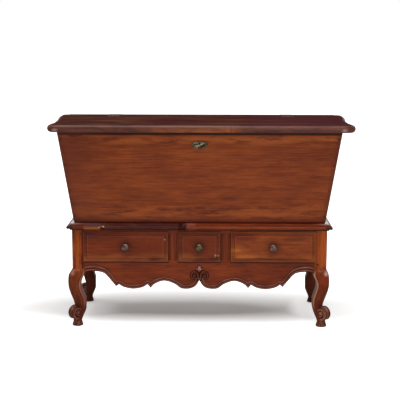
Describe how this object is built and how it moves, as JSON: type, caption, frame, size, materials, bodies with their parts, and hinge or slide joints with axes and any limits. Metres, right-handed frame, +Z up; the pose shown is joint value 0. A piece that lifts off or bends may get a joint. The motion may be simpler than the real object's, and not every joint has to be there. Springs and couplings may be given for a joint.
{
  "type": "dough box",
  "caption": "Kneading trough with outward-leaning sides and a hinged board lid, on a cabriole-legged stand with drawers in its frieze and a scalloped apron.",
  "frame": {"origin": "on the floor, under the middle of the whole footprint", "axes": "+X to the right along the length, +Y to the back, +Z up; the drawers face -Y"},
  "size_m": [1.474, 0.6404, 0.9999],
  "materials": {
    "walnut": "glossy wax polish, reddish brown, worn along its edges",
    "lid_walnut": "dark, glossy, worn to orange along the front nose",
    "inner_wood": "bare, dry, scrubbed",
    "peg_wood": "dark end grain",
    "old_brass": "dull, patinated",
    "iron": "dark, forged, lightly rusted"
  },
  "bodies": {
    "root": {"leg_front_left": "walnut", "leg_front_right": "walnut", "leg_back_left": "walnut", "leg_back_right": "walnut", "apron_front": "walnut", "side_board_left": "walnut", "side_board_right": "walnut", "top_rail": "walnut", "muntin_left": "walnut", "muntin_right": "walnut", "waist_front": "walnut", "waist_back": "walnut", "waist_left": "walnut", "waist_right": "walnut", "trough_front": "walnut", "trough_back": "walnut", "trough_end_left": "walnut", "trough_end_right": "walnut", "back_board": "inner_wood", "runner_left": "inner_wood", "runner_mid_left": "inner_wood", "runner_mid_right": "inner_wood", "runner_right": "inner_wood", "drawer_guides": "inner_wood", "kickers": "inner_wood", "trough_bottom_front": "inner_wood", "trough_bottom_rear": "inner_wood", "pegs_front": "peg_wood", "pegs_sides": "peg_wood", "pegs_back": "peg_wood", "trough_pegs": "peg_wood", "escutcheon": "old_brass", "lock_case": "iron", "hinge_leaves_trough": "iron", "hinge_pins": "iron"},
    "lid": {"lid_board_front": "lid_walnut", "lid_board_rear": "lid_walnut", "lid_battens": "inner_wood", "lid_staple": "iron", "hinge_leaves_lid": "iron"},
    "bolt": {"lock_bolt": "iron"},
    "drawer_left": {"drawer_left_front": "walnut", "drawer_left_sides": "inner_wood", "drawer_left_back": "inner_wood", "drawer_left_bottom": "inner_wood", "drawer_left_knob": "old_brass"},
    "drawer_centre": {"drawer_centre_front": "walnut", "drawer_centre_sides": "inner_wood", "drawer_centre_back": "inner_wood", "drawer_centre_bottom": "inner_wood", "drawer_centre_knob": "old_brass"},
    "drawer_right": {"drawer_right_front": "walnut", "drawer_right_sides": "inner_wood", "drawer_right_back": "inner_wood", "drawer_right_bottom": "inner_wood", "drawer_right_knob": "old_brass"}
  },
  "joints": [
    {"name": "lid_hinge", "type": "hinge", "parent": "root", "child": "lid", "pos_m": [0, 0.3137, 0.9934], "axis": [-1, 0, 0], "range_deg": [0, 100]},
    {"name": "drawer_left_slide", "type": "slide", "parent": "root", "child": "drawer_left", "axis": [0, -1, 0], "range_m": [0, 0.32]},
    {"name": "drawer_centre_slide", "type": "slide", "parent": "root", "child": "drawer_centre", "axis": [0, -1, 0], "range_m": [0, 0.32]},
    {"name": "drawer_right_slide", "type": "slide", "parent": "root", "child": "drawer_right", "axis": [0, -1, 0], "range_m": [0, 0.32]},
    {"name": "lock_bolt_slide", "type": "slide", "parent": "root", "child": "bolt", "axis": [1, 0, 0], "range_m": [0, 0.013]}
  ]
}
